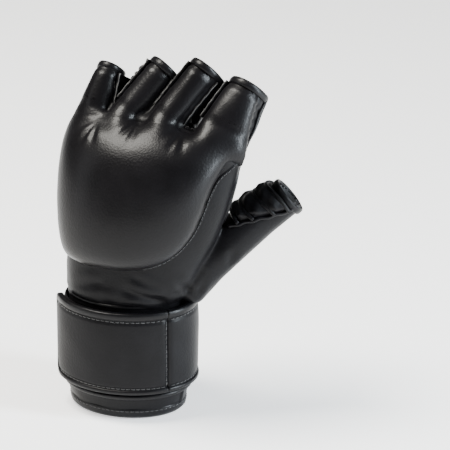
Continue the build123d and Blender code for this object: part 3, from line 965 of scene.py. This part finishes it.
def thumb_point(w, turn, lift):
    """A point on the thumb, lifted off its surface; turn 0 faces the palm and index finger."""
    centre = np.stack([np.interp(w, THUMB_STATIONS, THUMB_LINE[:, k]) for k in range(3)], axis=-1)
    across = WEB_FACING - THUMB_WAY * (WEB_FACING @ THUMB_WAY)
    across /= np.linalg.norm(across)
    side = np.cross(THUMB_WAY, across)
    radius = np.interp(w, THUMB_STATIONS, THUMB_RADII) + lift
    way = across * np.cos(turn)[..., None] + side * np.sin(turn)[..., None]
    return centre + way * radius[..., None]


def thumb_up(w, turn):
    """Direction out of the thumb's surface."""
    return thumb_point(w, turn, 1.0) - thumb_point(w, turn, 0.0)


def band_edge(w):
    """The band's edge on the back of the thumb, which runs from the thumb gap to the tip of the stall."""
    start, end = THUMB_BAND
    return THUMB_WRAP[1] + (THUMB_WRAP[2] - THUMB_WRAP[1]) * np.clip((w - start) / (end - start), -0.2, 1)


def thumb_trim():
    """Mouth binding, gathered band with its ribs, and the piping along both edges of the band."""
    turn = np.linspace(0, tau, 72, endpoint=False)
    w = THUMB_LENGTH - 0.5 + np.cos(turn)
    rim, ups = thumb_point(w, turn, 0.1), thumb_up(w, turn)
    sweep("thumb_rim_binding", rim, BINDING, 5.0, 2.8, ups, closed=True, sides=12)
    rows, columns = 70, 56
    start, end = THUMB_BAND
    w2, u2 = np.meshgrid(np.linspace(start, end, rows), np.linspace(0, 1, columns), indexing="ij")
    t2 = THUMB_WRAP[0] + (band_edge(w2) - THUMB_WRAP[0]) * u2
    hoops = np.min([np.abs(w2 - at) for at in THUMB_HOOPS], axis=0)
    puff = 2.4 * np.sqrt(np.clip(hoops / 6.5, 0, 1))
    puff += 0.5 * np.sin(t2 * 9 + w2 * 0.4) * np.clip(hoops / 4, 0, 1)
    edge = ease(np.minimum(t2 - THUMB_WRAP[0], band_edge(w2) - t2) / 0.35)
    edge *= ease(np.minimum(w2 - start, end - w2) / 2.5 + 0.1)
    points = thumb_point(w2, t2, 0.3 + edge * (2.8 + puff)).reshape(-1, 3)
    shell("thumb_web_band", points, grid_faces(rows, columns), 1.5, PANEL, rows, columns)
    for k, at in enumerate(THUMB_HOOPS):
        t = np.linspace(THUMB_WRAP[0], band_edge(at), 56)
        w3 = at + 0.9 * np.sin(t * 3 + k)
        sweep(f"thumb_band_rib_{k + 1}", thumb_point(w3, t, 3.0), BINDING, 2.6, 3.0, thumb_up(w3, t))
    for first, word in ((26.0, "outer"), (41.0, "inner")):
        w4 = np.linspace(first, THUMB_LENGTH - 2, 60)
        t = (band_edge(w4) + 0.05 if word == "inner" else THUMB_WRAP[0] - 0.05) + 0.03 * np.sin(w4 * 0.7)
        sweep(f"thumb_{word}_piping", thumb_point(w4, t, 0.8), BINDING, 2.4, 2.8, thumb_up(w4, t))


# ---------------------------------------------------------------- cuff and strap

def oval_point(a, b, turn, z):
    a, b, turn, z = np.broadcast_arrays(a, b, turn, z)
    return np.stack([a * np.cos(turn), b * np.sin(turn), z], axis=-1)


def oval_up(a, b, turn):
    n = np.stack([np.cos(turn) / a, np.sin(turn) / b, np.zeros_like(turn)], axis=-1)
    return n / np.linalg.norm(n, axis=-1, keepdims=True)


def oval_panel(name, profile, turns, material, a=STRAP_A, b=STRAP_B, shape=None):
    """A curved panel swept round the wrist from a closed profile of (outwards, height)."""
    profile = np.array(profile, float)
    rows, sides = len(turns), len(profile)
    out, z = np.broadcast_to(profile[:, 0], (rows, sides)), np.broadcast_to(profile[:, 1], (rows, sides))
    turn = np.broadcast_to(np.asarray(turns)[:, None], (rows, sides))
    if shape is not None:
        out, z = shape(out, z, turn)
    points = oval_point(a, b, turn, z) + oval_up(a, b, turn) * out[..., None]
    faces = grid_faces(rows, sides, wrap=True)[:, ::-1].tolist()
    faces.append(list(range(sides)))
    faces.append([(rows - 1) * sides + k for k in range(sides)][::-1])
    make(name, points.reshape(-1, 3), faces, material)


def band_profile(low, high, outer, thickness, puff, step=1.2, groove_at=()):
    """Section of a padded band with round edges and pressed-in seam lines."""
    z = np.linspace(low, high, int((high - low) / step) + 1)
    t = (z - low) / (high - low)
    edge = np.minimum(np.minimum(t, 1 - t) * (high - low) / 2.2, 1)
    out = outer + puff * (1 - np.abs(2 * t - 1) ** 3) - thickness * 0.45 * (1 - np.sqrt(1 - (1 - edge) ** 2))
    for at in groove_at:
        out = out - 0.9 * np.exp(-((z - at) / 0.9) ** 2)
    inner = outer - thickness + thickness * 0.45 * (1 - np.sqrt(1 - (1 - edge) ** 2))
    return [*zip(out, z), *zip(inner[::-1], z[::-1])]


def oval_stitches(name, turns, z, lift, a=STRAP_A, b=STRAP_B):
    """A row of stitches on a layer round the wrist."""
    ups = oval_up(a, b, turns)
    stitches(name, oval_point(a, b, turns, z) + ups * lift, ups, THREAD)


def cuff():
    """Padded wall with its slit, lining, hem, flap, label and top binding."""
    slit = np.radians(np.linspace(90 + 11, 450 - 11, 200))
    z = np.linspace(3.0, 84.0, 54)
    flare = 1.7 * np.exp(-((z - 19) / 7.5) ** 2) - 1.1 * ease((11 - z) / 8)
    outer = [(f, h) for f, h in zip(flare, z)]
    inner = [(f - 4.6, h) for f, h in zip(flare * 0.6, z)][::-1]

    def crumple(out, z, turn):
        low = ease((24 - z) / 8)
        p = np.stack([turn * 40, z], axis=-1).reshape(-1, 2)
        soft = waves(p, 26.0, 5).reshape(out.shape)
        lap = 1.5 * ease((turn - radians(347)) / 0.02) * np.exp(-np.clip(turn - radians(347), 0, 9) / 0.12)
        return out + low * (0.55 * soft + lap), z

    oval_panel("cuff_padded_wall", outer + inner, slit, PANEL, CUFF_A, CUFF_B, crumple)
    lining_profile = [(-4.8, h) for h in z] + [(-5.7, h) for h in z[::-1]]
    oval_panel("cuff_lining", lining_profile, slit, LINING, CUFF_A, CUFF_B)
    hem_turn = np.radians(np.linspace(90 + 10.6, 450 - 10.6, 180))
    hem = [
        (0.5, 2.2), (0.85, 3.5), (0.95, 5.5), (0.8, 7.2), (0.25, 8.2), (-0.6, 8.0), (-3.0, 7.6), (-5.3, 7.9),
        (-6.1, 7.0), (-6.3, 4.0), (-5.9, 2.0), (-4.6, 0.6), (-2.9, 0.1), (-1.1, 0.5),
    ]

    def hem_shape(out, z, turn):
        return out - 0.9 + 0.25 * np.sin(turn * 9) * ease(z / 9), z + 0.2 * np.sin(turn * 7 + 1) * (z > 6)

    oval_panel("cuff_hem_binding", hem, hem_turn, BINDING, CUFF_A, CUFF_B, hem_shape)
    oval_stitches("hem_stitches", hem_turn[4:-4], 6.0, 0.1, CUFF_A, CUFF_B)
    flap_turn = np.radians(np.linspace(62, 112, 40))
    flap = band_profile(10.5, 83.0, 2.2, 1.5, 0.2, 2.0)
    oval_panel("cuff_overlap_flap", flap, flap_turn, PANEL, CUFF_A, CUFF_B)
    tag = [(-5.75, h) for h in np.linspace(55, 75, 9)] + [(-6.2, h) for h in np.linspace(75, 55, 9)]
    tag_turn = np.radians(np.linspace(-110, -70, 28))
    oval_panel("inner_label", tag, tag_turn, LABEL, CUFF_A, CUFF_B)
    rim = oval_point(CUFF_A, CUFF_B, slit, 83.6) - oval_up(CUFF_A, CUFF_B, slit) * 2.4
    sweep("cuff_top_binding", rim, BINDING, 6.6, 3.0)


def strap():
    """Inner turn, tapes, outer turn with its seam, and the tail that opens."""
    low, high = STRAP_LOW, STRAP_HIGH
    seam, end = SEAM_ANGLE, TAIL_END
    inner = band_profile(low - 5, high - 2, -4.6, 2.0, 0.25, 1.5, (low - 1.4,))
    oval_panel("strap_inner_turn", inner, np.radians(np.linspace(-260, 80, 170)), STRAP)
    edge_turn = np.radians(np.linspace(-259, 79, 170))
    edge = oval_point(STRAP_A - 5.2, STRAP_B - 5.2, edge_turn, low - 4.0)
    sweep("strap_inner_edging", edge, BINDING, 3.4, 3.4)
    loops = band_profile(low + 8, high - 8, -3.7, 0.8, 0.0, 1.0)
    oval_panel("loop_tape", loops, np.radians(np.linspace(-172, -112, 90)), LOOPS, shape=fuzz(0.22, 3))
    hooks = band_profile(low + 10, high - 10, -3.0, 0.6, 0.0, 1.0)
    oval_panel("hook_tape", hooks, np.radians(np.linspace(-160, -126, 70)), HOOKS, shape=fuzz(0.12, 4))

    def puffy(out, z, turn):
        p = np.stack([turn * 45, z], axis=-1).reshape(-1, 2)
        soft = waves(p, 42.0, 11).reshape(out.shape)
        outside = out > -1.2
        near_seam = np.exp(-((turn - seam) / 0.045) ** 2)
        return out + outside * (0.4 * soft - 0.9 * near_seam), z

    def rounded(out, z, turn):
        out, z = puffy(out, z, turn)
        reach = np.clip(1 - (turn - end) / 0.26, 0, 1)
        cut = TAIL_CORNER * (1 - np.sqrt(1 - reach**2))
        middle = (low + high) / 2
        return out, middle + (z - middle) * (1 - cut / (high - low) * 2)

    section = band_profile(low + 0.8, high - 0.8, 0.0, 3.0, 0.9, 1.2, (high - 6.4, low + 4.2))
    tail_steps = np.concatenate([np.linspace(0, 0.14, 24), np.linspace(0.15, 1, 90)])
    tail_turn = end + (seam - 0.004 - end) * tail_steps
    oval_panel("strap_tail", section, tail_turn, STRAP, shape=rounded)
    fixed_turn = np.linspace(seam + 0.004, radians(165), 150)
    oval_panel("strap_outer_turn", section, fixed_turn, STRAP, shape=puffy)

    for name, z, height, thread_z in (("strap_outer_top_edging", high - 2.6, 5.4, high - 6.3),
                                      ("strap_outer_bottom_edging", low + 1.7, 3.6, low + 4.5)):
        line = oval_point(STRAP_A, STRAP_B, fixed_turn, z) + oval_up(STRAP_A, STRAP_B, fixed_turn) * -1.35
        sweep(name, line, BINDING, 4.7, height, power=3.2, sides=14)
        oval_stitches(f"{name}_stitches", fixed_turn[2:-2], thread_z, 0.05)
    top_turn = np.linspace(seam - 0.004, end + 0.27, 90)
    corner = np.linspace(0, pi / 2, 16)[1:]
    corner_turn = end + 0.27 - 0.27 * np.sin(corner)
    corner_drop = TAIL_CORNER * (1 - np.cos(corner))
    top_z = np.concatenate([np.full(90, high - 2.4), high - 2.4 - corner_drop])
    side_z = np.linspace(high - 13.4, low + 12.6, 24)[1:-1]
    turns = np.concatenate([top_turn, corner_turn, np.full(22, end), corner_turn[::-1], top_turn[::-1]])
    heights = np.concatenate([top_z, side_z, low + 1.7 + corner_drop[::-1], np.full(90, low + 1.7)])
    line = oval_point(STRAP_A, STRAP_B, turns, heights) + oval_up(STRAP_A, STRAP_B, turns) * -1.35
    size = np.concatenate([np.full(90, 5.4), np.linspace(5.4, 3.8, 15), np.full(22, 3.6), np.full(105, 3.6)])
    ahead = np.gradient(line, axis=0)
    ups = np.cross(ahead, oval_up(STRAP_A, STRAP_B, turns))
    sweep("strap_tail_edging", line, BINDING, 4.7, size, ups, power=3.2, sides=14)
    oval_stitches("strap_tail_top_stitches", top_turn[2:-2], high - 6.2, 0.2)
    oval_stitches("strap_tail_bottom_stitches", top_turn[2:-2], low + 4.4, 0.2)
    oval_stitches("strap_seam_stitches", np.full(60, seam - 0.03), np.linspace(high - 7, low + 5, 60), 0.35)


def fuzz(amount, seed):
    """A rough pile on the outer face of a tape."""
    def shape(out, z, turn):
        p = np.stack([turn * 45, z], axis=-1).reshape(-1, 2)
        return out + (out > out.min() + 0.3) * amount * waves(p, 2.6, seed, 5).reshape(out.shape), z
    return shape


opening_binding()
for finger in FINGERS:
    finger_trim(finger)
dome_seam()
side_piping()
thumb_trim()
cuff()
strap()


# ---------------------------------------------------------------- what each piece follows

STANDS_FOR = {  # pieces that stand for nodes of other names than their own
    "knuckle_pad": ["knuckle_pad_shell", "knuckle_pad_foam"],
    **{f"{finger}_pad": [f"{finger}_pad_shell", f"{finger}_pad_foam"] for finger in FINGERS},
    "cuff_padded_wall": ["cuff_leather", "cuff_foam"],
    "strap_outer_top_edging": ["strap_outer_edging"],
    "strap_tail_edging": ["strap_tail_edging", "strap_tail_end_binding"],
}
ON_HAND = ("thumb_side_panel", "thumb_heel_panel", "thumb_base_panel", "little_side_panel",
           "little_heel_panel")
ON_TAIL = ("strap_tail", "strap_tail_edging", "strap_tail_top_stitches", "strap_tail_bottom_stitches",
           "strap_seam_stitches", "hook_tape")


def blend_over(piece, body, start, end):
    """Bakes the piece's transform into its mesh, where it stays; body, start and end are not used."""
    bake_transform(piece)


def follow(name, piece):
    """Ties the piece to its body, or bakes it in place, and hides the nodes that it stands for."""
    finger = name.split("_")[0]
    if name in ON_HAND:
        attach(piece, "hand")
    elif name in ON_TAIL:
        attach(piece, "strap_tail")
    elif finger in FINGERS and name.endswith("rim_binding"):
        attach(piece, f"{finger}_finger")
    elif finger in FINGERS:
        blend_over(piece, f"{finger}_finger", *(finger_place(finger, at, 0.0, 0.0) for at in KNUCKLE_BLEND))
    elif finger == "thumb" and name.endswith(("panel", "lining", "piping")):
        blend_over(piece, "thumb", *(THUMB_ROOT + THUMB_WAY * (THUMB_SPLIT + at) for at in (1, 20)))
    else:
        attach(piece, "thumb" if finger == "thumb" else "hand")
    nodes = STANDS_FOR.get(name, [name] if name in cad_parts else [])
    if nodes:
        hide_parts(*nodes)


for name, piece in MADE.items():
    follow(name, piece)


# ---------------------------------------------------------------- floor, lights and camera

def stage():
    """Pale floor, world light and soft lights."""
    bpy.ops.mesh.primitive_plane_add(size=12, location=(0, 0, 0))
    floor = bpy.context.object
    floor.name = "floor"
    white = bpy.data.materials.new("floor_white")
    white.use_nodes = True
    shader = white.node_tree.nodes["Principled BSDF"]
    shader.inputs["Base Color"].default_value = (0.93, 0.93, 0.93, 1)
    shader.inputs["Roughness"].default_value = 0.9
    shader.inputs["Emission Color"].default_value = (1, 1, 1, 1)
    shader.inputs["Emission Strength"].default_value = 0.8
    floor.data.materials.append(white)
    world = bpy.data.worlds.new("studio")
    bpy.context.scene.world = world
    world.use_nodes = True
    world.node_tree.nodes["Background"].inputs["Color"].default_value = (1, 1, 1, 1)
    world.node_tree.nodes["Background"].inputs["Strength"].default_value = 0.16
    target = Vector((0.03, 0.0, 0.13))
    lights = [
        ("key", (-0.50, -0.22, 1.36), (0.6, 0.6), 54.0, (1.0, 0.97, 0.90)),
        ("rim", (1.2, -0.05, 0.45), (0.22, 1.2), 55.0, (0.84, 0.93, 1.0)),
        ("soft", (-1.1, -0.6, 0.45), (0.4, 1.1), 3.0, (0.95, 0.97, 1.0)),
    ]
    for name, place, size, power, colour in lights:
        data = bpy.data.lights.new(name, "AREA")
        data.shape, data.size, data.size_y, data.energy, data.color = "RECTANGLE", *size, power, colour
        lamp = bpy.data.objects.new(name, data)
        lamp.location = place
        lamp.rotation_euler = (target - Vector(place)).to_track_quat("-Z", "Y").to_euler()
        bpy.context.collection.objects.link(lamp)


def camera():
    """At the height and side that show the back of the hand and the thumb."""
    azimuth, elevation = radians(18), radians(22)
    away = Vector((sin(azimuth) * cos(elevation), -cos(azimuth) * cos(elevation), sin(elevation)))
    distance, lens = 2.65, 305.0
    data = bpy.data.cameras.new("camera")
    data.lens, data.sensor_width = lens, 36.0
    cam = bpy.data.objects.new("camera", data)
    right = Vector((cos(azimuth), sin(azimuth), 0))
    up = right.cross(-away)
    aim = right * 0.0670 + up * 0.1212
    cam.location = aim + away * distance
    cam.rotation_euler = (-away).to_track_quat("-Z", "Y").to_euler()
    bpy.context.collection.objects.link(cam)
    bpy.context.scene.camera = cam


stage()
camera()
